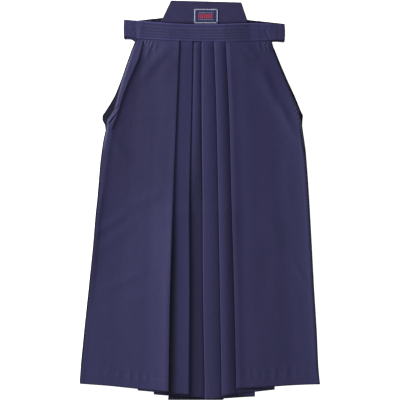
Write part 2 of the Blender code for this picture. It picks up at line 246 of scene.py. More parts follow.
# Ties: x and down of fold and hidden end, how much narrower the fold is, and how far the lower run
# hangs under the band's end (tail) and at the loop (drop)
TIES = {
    True: {"fold": (-200.6, 49.6), "end": (-30.0, 66.0), "narrowed": 0.6, "tail": 9.0, "drop": 8.8},
    False: {"fold": (225.0, 60.4), "end": (62.0, 66.0), "narrowed": 2.0, "tail": 1.0, "drop": 6.6},
}
TIE_WIDTH = 45.0

# Back board corners as x, down; the straps beside it; back panels; the gusset's down, left and right
BOARD_TOP = ((-76.1, -2.1), (110.2, 2.8))
BOARD_BASE = ((-122.2, 95.0), (141.2, 95.0))
STRAPS = {
    True: {"top": 43.4, "fold": (-168.0, 51.4), "end": -124.0},
    False: {"top": 49.0, "fold": (221.0, 59.2), "end": 145.0},
}
BACK_TOP = 95.3
BACK_PLEAT_DEPTH = (42.0, 54.0)
BACK_HEM = (1004.0, 1046.0)
BACK_HEM_START = 960
GUSSET_EDGES = ((566, -22, 14), (720, -45, 26), (900, -68, 44), (1055.8, -84, 61.5))
GUSSET_BED = (527, 560)
HEM_ALLOWANCE = 33.0

# Machine stitching: stitch and gap as shares of the stitch length, height as a share of the width.
# Threads on the panels lie THREAD_LIFT above the cloth
HEM_STITCH = (0.5, 1.9, 0.7)
SIDE_STITCH = (1.0, 0.35, 0.6)
FOLD_STITCH = (1.0, 0.3, 0.7)
BAND_STITCH = (1.0, 0.3, 0.8)
THREAD_LIFT = 0.02
# The row along the panels' sides: its start and end, and how far in it lies. The row of a side fold
# follows one column of the fold's grid
SIDE_SEAM = (372.0, 985.0)
SIDE_SEAM_IN = 10.5
FOLD_STITCH_COLUMN = -3
# Bar tacks: x and down at both ends, and the side; then a bead's length, gap, width and height
BAR_TACKS = (
    (-142, 104.5, -147.5, 116, True), (-134, 104.5, -141, 122, True), (-126, 107, -132.5, 125, True),
    (172, 110.5, 167.5, 120, False), (177, 116, 178.5, 126, False),
)
TACK_STITCH = (5.0, 0.6, 1.5, 0.9)
TACK_LIFT = 2.1

# Label: thickness and middle; insets of its border; where bars and pale rows lie, as shares of its
# width and height, and how far below the first bar each one is; beads as for the tacks
LABEL_THICK = 0.8
LABEL_MIDDLE = BOARD_THICK + 0.55
LABEL_BORDERS = (1.3, 2.7)
LABEL_MARGIN = 0.17
LABEL_ROWS = (0.27, 0.74)
LABEL_BARS_TOP = 0.36
LABEL_BARS = np.arange(0.0, 11.5, 1.1)
BORDER_STITCH = (2.6, 0.5, 1.5, 0.7)
ROW_STITCH = (3.0, 1.6, 1.2, 0.7)
BAR_STITCH = (4.6, 0.3, 1.3, 0.7)

# Patterns in metres: changes of tone, slubs, marks of pressing and the twist of a thread's plies.
# A wave texture of scale 1 repeats after WAVE_PERIOD
TONE_SIZE = 0.045
SLUB_SIZE = 0.0042
PRESSED_SIZE = 0.016
PLY_TWIST = 0.0007
WAVE_PERIOD = 0.314
RIB_ANGLE = math.radians(63)
# How the dye's colour is multiplied on the ribs, for painted shade and for painted highlights
RIB_TONE = 1.15
PAINTED_SHADE_TONE = 0.2
PAINTED_HIGHLIGHT_TONE = 1.9

# Stage in metres: the table, each lamp's name, setting for power, size and place, and the camera
TABLE_HALF = 12.0
TABLE_LOW = -0.0003
LAMPS = (
    ("key_light", "key_power", 1.3, (-2.75, 1.15, 1.2)),
    ("fill_light", "fill_power", 2.5, (0.9, -1.6, 2.6)),
)
CAMERA_SHIFT = (0.0008, 0.0003)


def linear(code):
    """A hex sRGB colour as linear RGB, each channel by the sRGB curve."""
    values = [int(code[i:i + 2], 16) / 255 for i in (0, 2, 4)]
    return tuple(v / 12.92 if v <= 0.04045 else ((v + 0.055) / 1.055) ** 2.4 for v in values)


# Curves and soft steps


def ease(start, end, value):
    """3s^2 - 2s^3 of the share s of the way from start to end: 0 before, 1 after, no kink."""
    share = np.clip((value - start) / (end - start), 0.0, 1.0)
    return share * share * (3.0 - 2.0 * share)


def near(distance, width):
    """A bell, exp(-(distance / width)^2): 1 at no distance, nothing past about twice the width."""
    return np.exp(-(distance / width) ** 2)


def blend(start, end, share):
    """The value at a share of the way from start to end."""
    return start + (end - start) * share


def polyline(table, at, column=1):
    """A table's column read at positions in its first column, straight between rows."""
    return np.interp(at, [row[0] for row in table], [row[column] for row in table])


def curve(xs, ys, at):
    """Cubic through the points, each end of a span leaving with the slope between its neighbours."""
    xs, ys = np.asarray(xs, float), np.asarray(ys, float)
    slope = np.gradient(ys, xs)
    at = np.clip(at, xs[0], xs[-1])
    i = np.clip(np.searchsorted(xs, at) - 1, 0, len(xs) - 2)
    span = xs[i + 1] - xs[i]
    t = (at - xs[i]) / span
    keep = (1 + 2 * t) * (1 - t) ** 2
    return (
        keep * ys[i] + (1 - keep) * ys[i + 1]
        + span * t * (1 - t) * ((1 - t) * slope[i] - t * slope[i + 1])
    )


def cover(x, low, high, spread):
    """1 over a layer, falling softly to 0 at a distance of spread from its edges."""
    return 1.0 - ease(0.0, spread, np.maximum(np.maximum(low - x, x - high), 0.0))


def ridge(x, down, crease):
    """A bell across a slightly bowed line, times a rise and fall along it."""
    x0, d0, x1, d1, width, height = crease
    length = math.hypot(x1 - x0, d1 - d0)
    along_x, along_d = (x1 - x0) / length, (d1 - d0) / length
    along = (x - x0) * along_x + (down - d0) * along_d
    across = (down - d0) * along_x - (x - x0) * along_d
    bow = 0.12 * length * (along / length) * (1 - along / length)
    ends = ease(-0.25 * length, 0.3 * length, along) * (1 - ease(0.7 * length, 1.25 * length, along))
    return height * near(across - bow, width) * ends


# Places across the garment


def pleat_places(down):
    """The x of every pleat's turns: the curve of its edge, and one depth behind that.

    Each turn lies inside what shows by the reach of a rounded fold, and the depth eases from its
    value at the band to the one at the hem.
    """
    places = {}
    share = ease(PLEAT_DOWN[0], PLEAT_DOWN[-1], down)
    for name, pleat in PLEATS.items():
        edge = curve(PLEAT_DOWN, pleat["edge"], down)
        depth = blend(*pleat["depth"], share)
        places["edge" + name] = edge - pleat["looks"] * FOLD_REACH
        places["inside" + name] = edge - pleat["looks"] * (depth - FOLD_REACH)
    return places


def front_places(down, left):
    """Pleat turns and the half's side edge."""
    return {**pleat_places(down), "side": polyline(FRONT_EDGES[left], down)}


def bed_height(x, down):
    """Height of what the front lies on: back panels, gusset, board, straps and ties.

    One layer, with two more about the centre and two again where the gusset lies. Under the band
    it is at least the waist's height, which eases away below.
    """
    places = pleat_places(down)
    centre = cover(x, places["edge1"] - CENTRE_MARGIN, places["inside3"] + CENTRE_MARGIN, LAYER_SPREAD)
    bed = PITCH * (1.0 + 2.0 * centre * (1.0 + ease(*GUSSET_BED, down)))
    waist = 1.0 - ease(BAND_END, WAIST_BED_END, down)
    return bed + np.maximum(0.0, WAIST_BED - bed) * waist


def layer_height(x, down, left, number):
    """Middle of one run of the strip: the bed, and a layer's height for every run that lies under it."""
    strip = STRIPS[left]
    places = front_places(down, left)
    spans = list(zip(strip["turns"], strip["turns"][1:]))[number + 1:] + list(strip["under"])
    height = bed_height(x, down) + LAYER_MIDDLE
    for start, end in spans:
        a, b = places[start], places[end]
        height = height + PITCH * cover(x, np.minimum(a, b), np.maximum(a, b), LAYER_SPREAD)
    return height


def grown(pair, down, span=GROWTH):
    """From the first height, above the span of down, to the second one below it."""
    return blend(*pair, ease(*span, down))


def stand(name, x, down, places):
    """Lift beside a fold: its height times exp(-distance / reach), with a soft start at the band."""
    away = np.maximum(PLEATS[name]["looks"] * (places["edge" + name] - x), 0.0)
    return grown(STANDS[name], down) * np.exp(-away / STAND_REACH) * ease(*RELIEF_START, down)


def side_roll(from_side, down, left):
    """Lift of the panel's side: up to a crest, then a sum of heights times exp(-distance past it / reach).

    On the left the crest follows the inner edge of the side fold and dies out towards the hem.
    Below the opening the panel's edge itself stands up.
    """
    if left:
        above = np.minimum(down, OPENING_END)
        fold = polyline(SIDE_FOLDS[left], above) - polyline(FRONT_EDGES[left], above)
        crest = fold - 12.0 * ease(420, 640, down)
        fade = ease(100, 170, down) * (1 - ease(650, 840, down))
    else:
        crest = 5.0 + 0.0 * down
        fade = ease(190, 330, down) * (1 - 0.25 * ease(800, 1000, down))
    past = np.maximum(from_side - crest, 0.0)
    return fade * sum(roll * np.exp(-past / reach) for roll, reach in SIDE_ROLLS[left])


def panel_relief(x, down, left):
    """What lifts the outer panel: creases, the side's roll and seam, a slow billow, the fold's stand.

    The seam is a bell beside the edge and the billow a product of slow sines. On the right the
    panel rises from its pleat's edge by 1 - exp(-distance / 5). On the left the cloth next to the
    edge rolls down by a bell, more so towards the hem.
    """
    name = OUTER_PLEAT[left]
    places = front_places(down, left)
    from_side = INWARD[left] * (x - places["side"])
    from_pleat = INWARD[left] * (places["edge" + name] - x)
    lift = sum(ridge(x, down, crease) for crease in CREASES[left])
    seam = ease(318, 360, down) * 0.6 * near(from_side - 6.5, 4.0)
    lift = lift + seam + side_roll(from_side, down, left)
    phase = 0.0 if left else 2.1
    slow = np.sin(x / 47.0 + phase + 0.8 * np.sin(down / 160.0)) * np.sin(down / 131.0 + phase)
    fine = np.sin(x / 19.0 + down / 83.0 + phase) * np.sin(down / 57.0 - x / 90.0)
    lift = lift + 0.35 + 0.15 * slow + 0.04 * fine
    if not left:
        lift = lift + 2.2 * (1.0 - np.exp(-np.maximum(from_pleat, 0.0) / 5.0))
    upturned = ease(330, 420, down)
    side = ease(-1.0, 6.0, from_side)
    lift = lift * ease(0.0, 9.0, from_pleat + 1.5) * (side + (1 - side) * upturned)
    rolled = 2.0 * near(from_pleat, 4.5) * ease(600, 860, down) if left else 0.0
    return lift * ease(*RELIEF_START, down) + stand(name, x, down, places) - rolled


def hem_relief(x, down, hem, strength):
    """A stitched groove at the hem's allowance, small puckers either side of it, and a step of cloth.

    Groove and puckers are bells of the distance from the stitches, and the puckers are also a wave
    along the hem. The step is the turned-up cloth below the stitches.
    """
    from_stitches = hem - down - HEM_ALLOWANCE
    groove = -0.35 * near(from_stitches, 2.2)
    wave = np.sin(x / 3.9 + 1.3 * np.sin(x / 23.0)) * (0.55 + 0.45 * np.sin(x / 31.0 + 1.0))
    pucker = 0.85 * strength * np.maximum(wave, -0.2) * near(from_stitches, 14.0)
    step = 0.3 * (1.0 - ease(HEM_ALLOWANCE - 1.5, HEM_ALLOWANCE + 1.5, hem - down))
    return groove + pucker + step


def crown(x, low, high, height, tilt):
    """A strip's rounding between two edges: height times 4s(1 - s), plus a fall of tilt to the right."""
    share = np.clip((x - low) / (high - low), 0.0, 1.0)
    return height * 4.0 * share * (1.0 - share) + tilt * (1.0 - share)


def strip_relief(x, down, places, left, number):
    """Puff of the narrow strips that show, and the stand of each fold on the two runs that meet there.

    A run beside a high fold follows it up by a share of the fold's stand. The run under a fold
    gets a share of its stand, so that the fold is a round standing edge.
    """
    strip = STRIPS[left]
    start = ease(*RELIEF_START, down)
    lift = 0.0
    if number in strip["between"]:
        pair = strip["between"][number]
        low, high = (places["edge" + name] for name in pair)
        height = grown(PUFFS[pair], down, PUFF_SPANS.get(pair, GROWTH))
        lift = lift + start * crown(x, low, high, height, TILTS[pair])
        if pair[0] in FOLLOWS:
            share, reach = FOLLOWS[pair[0]]
            followed = share * grown(STANDS[pair[0]], down)
            lift = lift + followed * np.exp(-np.abs(x - low) / reach) * start
    if number in strip["folds"]:
        share = STAND_SHARE if number % 2 else 1.0
        lift = lift + share * stand(strip["folds"][number], x, down, places)
    return lift


# Surfaces: dictionaries of x, down, z and the normal's two parts across the garment


def lying(x, down, z, way):
    """A surface whose normal is straight up where way is 1 and straight down where it is -1."""
    return {"x": x, "down": down + 0 * x, "z": z + 0 * x, "nx": 0 * x, "nz": way + 0 * x}


def half_turn(before, after, steps):
    """A half circle that joins the end of one run to the start of the next."""
    x, down = before["x"][:, -1:], before["down"][:, -1:]
    z0, z1 = before["z"][:, -1:], after["z"][:, :1]
    way, turn = before["nz"][:, -1:], np.sign(z1 - z0)
    radius = np.abs(z1 - z0) / 2
    share = np.arange(1, steps)[None, :] / steps
    angle = turn * (math.pi * share - math.pi / 2)
    return {
        "x": x + way * radius * np.cos(angle),
        "down": down + (after["down"][:, :1] - down) * share,
        "z": (z0 + z1) / 2 + radius * np.sin(angle),
        "nx": -turn * np.cos(angle),
        "nz": -turn * way * np.sin(angle),
    }


def with_turns(runs, steps=FOLD_STEPS):
    """Runs side by side as one surface, joined by half turns."""
    parts = [runs[0]]
    for before, after in zip(runs, runs[1:]):
        parts += [half_turn(before, after, steps), after]
    return {key: np.concatenate([part[key] for part in parts], axis=1) for key in parts[0]}


def linked(mesh, material):
    """The object that shows a mesh in its material, under the mesh's name."""
    mesh.materials.append(material)
    piece = bpy.data.objects.new(mesh.name, mesh)
    bpy.context.scene.collection.objects.link(piece)
    return piece


def grid_mesh(name, surface, thick, material, edge=None):
    """A closed wall of the given thickness about a surface, with the way along it as its UV map.

    Outer points are the middle plus half the thickness along the normal, inner points minus it.
    The tone attribute carries painted light: 1 is full painted shade, at a piece's edges and beside
    folds, 0 is none, and below 0 is a painted highlight.
    """
    x, down, z = surface["x"], surface["down"], surface["z"]
    half = np.broadcast_to(np.asarray(thick, float), x.shape) / 2
    outer = np.stack([x + surface["nx"] * half, TOP_Y - down, z + surface["nz"] * half], -1)
    inner = np.stack([x - surface["nx"] * half, TOP_Y - down, z - surface["nz"] * half], -1)
    rows, columns = x.shape
    count = rows * columns
    points = np.concatenate([outer.reshape(-1, 3), inner.reshape(-1, 3)]) * MM
    index = np.arange(count).reshape(rows, columns)
    cells = np.stack([index[:-1, :-1], index[:-1, 1:], index[1:, 1:], index[1:, :-1]], -1).reshape(-1, 4)
    rim = np.concatenate([index[0], index[1:, -1], index[-1, -2::-1], index[-2:0:-1, 0]])
    after = np.roll(rim, -1)
    wall = np.stack([after, rim, rim + count, after + count], -1)
    faces = np.concatenate([cells, cells[:, ::-1] + count, wall])
    corners = points[faces]
    volume = np.einsum("ij,ij->", corners[:, 0], np.cross(corners[:, 1], corners[:, 2]))
    volume += np.einsum("ij,ij->", corners[:, 0], np.cross(corners[:, 2], corners[:, 3]))
    if volume < 0:
        faces = faces[:, ::-1]
    step = np.hypot(np.diff(x, axis=1), np.diff(z, axis=1))
    along = np.concatenate([np.zeros((rows, 1)), np.cumsum(step, axis=1)], axis=1)
    uv = np.stack([along, down], -1).reshape(-1, 2) * MM
    mesh = bpy.data.meshes.new(name)
    mesh.from_pydata(points.tolist(), [], faces.tolist())
    layer = mesh.uv_layers.new(name="Cloth")
    layer.data.foreach_set("uv", np.concatenate([uv, uv])[faces.reshape(-1)].ravel())
    # edge holds painted shade above 0 and painted highlight below 0
    if edge is not None:
        values = np.tile(np.broadcast_to(edge, x.shape).ravel(), 2)
        mesh.attributes.new("Edge", "FLOAT", "POINT").data.foreach_set("value", values)
    mesh.shade_smooth()
    mesh.set_sharp_from_angle(angle=math.radians(62))
    return linked(mesh, material)


# Pieces


def front_surface(left):
    """The folded strip of one front half, from under the band to its stepped hem.

    A run's x goes straight from one turn to the next, and its height is the layer's plus its
    relief. Its own hem is a straight line between the hem's fall at its two turns, and the last
    rows slide from a level line to it.
    """
    turns, hems = STRIPS[left]["turns"], STRIPS[left]["hem"]
    level = np.concatenate([np.linspace(FRONT_TOP, 400, 72), np.linspace(405, HEM_START, 78)])[:, None]
    reach = np.linspace(0.0, 1.0, 16)[1:, None]
    runs = []
    for number, count in enumerate(STRIPS[left]["samples"]):
        outer = number == 0
        share = np.linspace(0.0, 1.0, count)[None, :]
        hem = blend(hems[number], hems[number + 1], share)
        down = np.concatenate([level + 0 * share, blend(HEM_START, hem, reach)])
        places = front_places(down, left)
        start, end = places[turns[number]], places[turns[number + 1]]
        if outer:
            share = share + 0.035 * np.sin(2 * math.pi * share)
        x = blend(start, end, share)
        relief = panel_relief(x, down, left) if outer else strip_relief(x, down, places, left, number)
        z = layer_height(x, down, left, number) + relief
        if number % 2 == 0:
            puckers = 1.0 if outer else 0.35
            z = z + hem_relief(x, down, hem, puckers) * ease(FRONT_TOP, 800, down)
        runs.append(lying(x, down, z, np.sign(end - start)))
    return with_turns(runs)


def painted_fold_shade(surface, left):
    """Painted shade beside the folds of one front half, where the standing folds shade the cloth.

    Each strip that shows darkens towards the fold that lies over it, by a bell or an exponential
    of the distance, more so lower down. The upper part of the left panel, away from its side, gets
    a little painted shade all over.
    """
    x, down = surface["x"], surface["down"]
    numbers = []
    for number, count in enumerate(STRIPS[left]["samples"]):
        numbers += [number] * count + [-1] * (FOLD_STEPS - 1)
    numbers = np.array(numbers[:x.shape[1]])[None, :]
    places = pleat_places(down)
    # Each term is painted shade, standing for the shadow of a fold or of the side's roll
    if left:
        from_side = x - polyline(FRONT_EDGES[left], down)
        first = 0.26 * ease(24, 50, from_side) * ease(105, 180, down) * (1 - ease(400, 660, down))
        lower = ease(500, 850, down)
        second = np.exp(-((x - places["edge1"]) / (15.0 + 5.0 * lower)) ** 4)
        second = second * (0.7 + 0.25 * lower) * ease(400, 700, down)
        fourth = (0.33 + 0.3 * np.exp(-np.abs(x - places["edge2"]) / 12.0)) * ease(250, 600, down)
        fourth = np.minimum(fourth + 0.8 * near(x - places["edge3"] + 2.0, 3.5) * ease(80, 200, down), 1.0)
    else:
        first = 0.0
        second = 0.5 * near(x - places["edge5"] + 1.0, 3.2) * ease(120, 200, down)
        fourth = 0.8 * near(x - places["edge4"] + 1.0, 3.4) * ease(120, 200, down)
    return first * (numbers == 0) + second * (numbers == 2) + fourth * (numbers == 4)


def panel_top(x, down, left):
    """Height of the upper side of the outer panel: its middle plus half the cloth."""
    return layer_height(x, down, left, 0) + panel_relief(x, down, left) + SHOWN_CLOTH / 2


def side_fold_surface(left):
    """The slanting strip: a narrow sheet on the panel, its inner edge standing, twisted at its foot.

    The lift grows with the share of the way to the inner edge, and the twist and the gather at the
    top are waves that a half sine across the strip brings to nothing at both edges.
    """
    down = np.linspace(*SIDE_FOLD_SPAN, 110)[:, None]
    outer = polyline(FRONT_EDGES[left], down) + INWARD[left] * 0.6
    inner = polyline(SIDE_FOLDS[left], down)
    share = np.linspace(0.0, 1.0, 18)[None, :]
    x = blend(outer, inner, share)
    lift = 0.5 + (1.3 if left else 0.5) * share * (1 - 0.5 * ease(250, 335, down))
    foot = ease(262, 290, down) * (1 - ease(318, 338, down))
    twist = (1.5 if left else 1.0) * foot * np.maximum(np.sin(x / 2.0 + down / 2.5), -0.4)
    gather = 0.3 * np.sin(x / 4.0 + down / 10.0) * (1 - ease(106, 150, down))
    z = panel_top(x, down, left) + lift + (twist + gather) * np.sin(math.pi * share)
    return lying(x, down, z, INWARD[left])


def waist_top(x, down):
    """Upper envelope of the pleats under the band, smoothed across 48 mm.

    The run on top follows from how many pleat edges lie to the left, and the height is the mean
    over places from 24 mm before to 24 mm behind.
    """
    places = pleat_places(down)
    reach = np.linspace(-24.0, 24.0, 13)
    total = 0.0
    for shift in reach:
        at = x + shift
        passed = sum((at >= places["edge" + name]).astype(int) for name in PLEATS)
        heights = [layer_height(at, down, left, number) for left, number in WAIST_RUNS]
        total = total + np.choose(passed, heights) / len(reach)
    return total


def band_folds(x, down):
    """Soft folds near the band's ends, added up."""
    return sum(ridge(x, down, fold) for fold in BAND_FOLDS)


def band_middle(x, down):
    """Middle of the band's thickness: a gap above the pleats' envelope, plus the soft folds."""
    envelope = waist_top(x, np.clip(down, FRONT_TOP, BAND_END))
    return envelope + BAND_GAP + BAND_THICK / 2 + band_folds(x, down)


def band_down(x, share):
    """Down of a line along the band at a share of its height, between the curves of its edges."""
    xs, tops, bottoms = zip(*BAND_EDGES)
    return blend(curve(xs, tops, x), curve(xs, bottoms, x), share)


def edge_rounding(share_x, share_y, width_x, width_y):
    """Thickness share near a piece's edges: the quarter circle's height over each edge's width."""
    def quarter(share, width):
        within = np.clip(np.minimum(share, 1 - share) / width, 0.0, 1.0)
        return np.sqrt(np.clip(1 - (1 - within) ** 2, 0.0, 1.0))
    return np.maximum(quarter(share_x, width_x) * quarter(share_y, width_y), 0.12)


def fine_ends(count, margin):
    """Shares from 0 to 1, even in between and by a cosine, so closer, within a margin of both ends."""
    ends = margin * (1 - np.cos(np.linspace(0, math.pi / 2, 6)))
    return np.concatenate([ends[:-1], np.linspace(margin, 1 - margin, count), 1 - ends[-2::-1]])


def band_surface():
    """The band, its thickness and its tone.

    The long edges are rounded, and each has a roll beside it. Every stitch row is a groove. Rolls
    and grooves are bells of the share of the band's height. The ends ease to the ties' thickness.
    The tone is below 0 along both edges, a painted highlight, and in two broad paler patches; it is less in
    the grooves, where it becomes painted shade.
    """
    share_x = np.linspace(0.0, 1.0, 230)[None, :]
    share_y = fine_ends(72, 0.035)[:, None]
    first, last = BAND_EDGES[0][0], BAND_EDGES[-1][0]
    x = blend(first, last, share_x) + 0 * share_y
    down = band_down(x, share_y)
    groove = sum(near(share_y - row, 0.032) for row in BAND_STITCH_ROWS)
    stitched = ease(STITCHED_FROM - 8, STITCHED_FROM + 4, x)
    stitched = stitched * (1 - ease(STITCHED_TO - 12, STITCHED_TO + 14, x))
    thick = BAND_THICK * edge_rounding(0.5, share_y, 1.0, 0.055)
    thick = thick - 1.35 * groove * stitched * ease(0.0, 0.03, np.minimum(share_y, 1 - share_y))
    thick = thick + 1.0 * near(share_y - 0.95, 0.024) + 0.7 * near(share_y - 0.06, 0.024)
    ends = 1.0 - ease(0.0, 10.0, np.minimum(x - first, last - x))
    thick = blend(thick, TIE_THICK, ends)
    # Painted highlight along both long edges, paler broad patches, and painted shade in the stitch grooves;
    # the tone is its negative
    highlight_less_shade = near(share_y - 0.035, 0.04) + (0.3 + 0.7 * near(x + 85, 60)) * near(share_y - 0.965, 0.04)
    highlight_less_shade = highlight_less_shade + 0.4 * near(x + 32, 90) + 0.3 * near(x - 168, 35) - 0.45 * groove * stitched
    return lying(x, down, band_middle(x, down), 1.0), thick, -highlight_less_shade


def tie_surface(left):
    """The tie runs on from the band's end, turns back round a soft loop and lies behind.

    The upper run blends from the band's end to the fold, with the band's soft folds. The lower run
    is level, hangs by drop times exp(-distance from the loop / 60), and by a bell of height tail
    where it comes out under the band's end.
    """
    tie, outward = TIES[left], -INWARD[left]
    band_end = BAND_EDGES[0] if left else BAND_EDGES[-1]
    share = fine_ends(40, 0.05)[:, None]
    start_down = blend(band_end[1], band_end[2], share)
    fold_down = tie["fold"][1] + share * (TIE_WIDTH - tie["narrowed"])
    end_down = tie["end"][1] + share * (TIE_WIDTH - 8.0)
    start = band_end[0] + outward * 0.05
    low = BOARD_THICK + LAYER_AIR + TIE_THICK / 2
    high_start = band_middle(np.full_like(share, band_end[0]), start_down)
    high_turn = high_start.mean() - 0.2
    turn = tie["fold"][0] - outward * ((high_turn - low) / 2 + TIE_THICK / 2)
    bulge = outward * 1.2 * np.sin(3.1 * share)
    across = np.linspace(0.0, 1.0, 26)[None, :]
    x = blend(start, turn, across) + 0 * share
    down = blend(start_down, fold_down, across)
    folds = band_folds(x, down)
    folds = folds - folds[:, :1] * (1 - ease(0.0, 0.3, across)) - folds * ease(0.85, 1.0, across)
    high = blend(high_start, high_turn, across) + 0.35 * np.sin(math.pi * across) + folds
    upper = lying(x + bulge * across, down, high, outward)
    back = np.linspace(0.0, 1.0, 60)[None, :]
    x = blend(turn, tie["end"][0], back) + 0 * share
    hang = tie["drop"] * np.exp(-np.abs(x - turn) / 60.0) + tie["tail"] * near(x - band_end[0], 8.0)
    down = blend(fold_down, end_down, back) + share * hang
    lower = lying(x + bulge * (1 - back) ** 3, down, low, -outward)
    surface = with_turns([upper, lower], 10)
    thick = TIE_THICK * edge_rounding(0.5, share, 1.0, 0.035) + 0.3 * near(share - 0.95, 0.022)
    return surface, thick + 0 * surface["x"]


def board_surface():
    """The board, its thickness and its tone: a flat skewed trapezoid blended from its corners.

    Its edges are rounded, a bell presses a groove beside the rim, and sines give the cover soft
    ripples. It sinks by 2.4 mm where the band's upper edge presses on it. The tone is painted shade,
    darker at the rim and as a painted shadow along the band's upper edge.
    """
    share_x, share_y = fine_ends(90, 0.02)[None, :], fine_ends(50, 0.035)[:, None]
    top_x, top_down = (blend(*ends, share_x) for ends in zip(*BOARD_TOP))
    base_x, base_down = (blend(*ends, share_x) for ends in zip(*BOARD_BASE))
    x, down = blend(top_x, base_x, share_y), blend(top_down, base_down, share_y)
    rounding = edge_rounding(share_x, share_y, 0.018, 0.03)
    rim = np.minimum(np.minimum(share_x, 1 - share_x) * 220, share_y * 95)
    groove = 0.3 * near(rim - 5.5, 1.4)
    ripple = 0.16 * np.sin(x / 11.0 + down / 17.0) * np.sin(down / 9.0)
    ripple = ripple + 0.07 * np.sin(x / 5.0 - down / 6.5)
    from_band = down - band_down(x, 0.0)
    sunk = 2.4 * ease(-4.4, 0.0, from_band)
    thick = np.maximum((BOARD_THICK - 0.5) * rounding - groove * rounding - sunk, 0.4)
    z = BOARD_THICK / 2 + ripple * ease(0, 12, rim) - sunk / 2
    # Painted shadow along the band's upper edge, strongest near the middle, and painted shade at the rim
    painted_band_shadow = near(from_band + 2.5, 3.5) * (0.15 + 0.55 * near(x + 15, 55))
    return lying(x, down, z, 1.0), thick, np.maximum(near(rim, 2.4), painted_band_shadow)


def strap_surface(left):
    """A strap in two level runs: out from the board's slanting side, then back on itself."""
    strap, outward = STRAPS[left], -INWARD[left]
    corner = 0 if left else 1
    (top_x, top), (base_x, base) = BOARD_TOP[corner], BOARD_BASE[corner]
    share = fine_ends(30, 0.05)[:, None]
    low, high = TIE_THICK / 2, TIE_THICK * 1.5 + LAYER_AIR
    turn = strap["fold"][0] - outward * ((high - low) / 2 + TIE_THICK / 2)
    start_down = strap["top"] + share * (TIE_WIDTH - 1.0)
    fold_down = strap["fold"][1] + share * (TIE_WIDTH - 4.0)
    start = top_x + (base_x - top_x) * (start_down - top) / (base - top) - outward * 0.8
    end_down = start_down + (fold_down - start_down) * (strap["end"] - start) / (turn - start)
    across = np.linspace(0.0, 1.0, 24)[None, :]
    back_x = blend(turn, strap["end"], across) + 0 * share
    return with_turns([
        lying(blend(start, turn, across), blend(start_down, fold_down, across), low, outward),
        lying(back_x, blend(fold_down, end_down, across), high, -outward),
    ])


def back_surface(left):
    """A back panel: flat on the ground, then folded up into one pleat beside the centre.

    Three level runs, from the side to the centre, back by the pleat's depth and to the centre
    again. The last rows slide from a level line to the slanting hem.
    """
    outward = -INWARD[left]
    level = np.concatenate([np.linspace(BACK_TOP, 400, 90), np.linspace(410, BACK_HEM_START, 40)])[:, None]
    reach = np.linspace(0.0, 1.0, 8)[1:, None]
    centre = outward * (FOLD_REACH + 0.18)
    runs = []
    for number, count in enumerate((50, 8, 8)):
        share = np.linspace(0.0, 1.0, count)[None, :]
        hem = blend(*BACK_HEM, share if number == 0 else np.ones_like(share))
        down = np.concatenate([level + 0 * share, blend(BACK_HEM_START, hem, reach)])
        depth = BACK_PLEAT_DEPTH[0] + (BACK_PLEAT_DEPTH[1] - BACK_PLEAT_DEPTH[0]) * down / TOTAL_LENGTH
        side, inside = polyline(BACK_EDGES[left], down), outward * (depth - FOLD_REACH)
        start, end = ((side, centre), (centre, inside), (inside, centre))[number]
        z = SHOWN_CLOTH / 2 + PITCH * number
        runs.append(lying(blend(start, end, share), down, z, np.sign(end - start)))
    return with_turns(runs, 4)


def gusset_surface():
    """The piece between the legs, folded double: two level runs between its straight edges."""
    down = np.linspace(GUSSET_EDGES[0][0], GUSSET_EDGES[-1][0], 60)[:, None]
    left, right = polyline(GUSSET_EDGES, down), polyline(GUSSET_EDGES, down, 2) - FOLD_REACH
    across = np.linspace(0.0, 1.0, 24)[None, :]
    low = LAYER_MIDDLE + PITCH * 3
    return with_turns([
        lying(blend(left, right, across), down, low, 1.0),
        lying(blend(right, left, across), down, low + PITCH, -1.0),
    ])


def stitch_line(x, down, z, length, gap, width, height):
    """Stitches along a line: each is a six-sided bead of six rings, lying on the surface.

    A bead's half width at its share s of length is width/2 times sin(pi s) to the power 0.5, so
    it is thin at both ends, and its middle arches up by a share of its height times sin(pi s).
    """
    step = np.concatenate([[0.0], np.cumsum(np.hypot(np.diff(x), np.diff(down)))])
    starts = np.arange(gap, step[-1] - length, length + gap)
    if not len(starts):
        return np.zeros((0, 3)), np.zeros((0, 4), int)
    share = np.linspace(0.0, 1.0, 6)
    at = starts[:, None] + length * share[None, :]
    cx, cd, cz = (np.interp(at, step, values) for values in (x, down, z))
    along_x, along_d = np.gradient(cx, axis=1), np.gradient(cd, axis=1)
    size = np.hypot(along_x, along_d)
    side_x, side_d = -along_d / size, along_x / size
    angle = np.linspace(0, 2 * math.pi, 7)[:-1]
    swell = np.maximum(np.sin(math.pi * share), 0.08)[None, :, None] ** 0.5
    out, up = swell * width / 2 * np.cos(angle), swell * height / 2 * np.sin(angle)
    arch = (height * 0.35 * np.sin(math.pi * share))[None, :, None]
    points = np.stack([
        cx[..., None] + side_x[..., None] * out,
        TOP_Y - (cd[..., None] + side_d[..., None] * out),
        cz[..., None] + up + arch,
    ], -1)
    index = np.arange(len(starts) * 36).reshape(-1, 6, 6)
    following = np.roll(index, -1, axis=2)
    sides = np.stack([index[:, :-1], following[:, :-1], following[:, 1:], index[:, 1:]], -1).reshape(-1, 4)
    caps = []
    for ring, order in ((0, (0, 1, 2, 3)), (0, (0, 3, 4, 5)), (5, (3, 2, 1, 0)), (5, (5, 4, 3, 0))):
        caps.append(index[:, ring][:, order])
    return points.reshape(-1, 3), np.concatenate([sides, *caps])


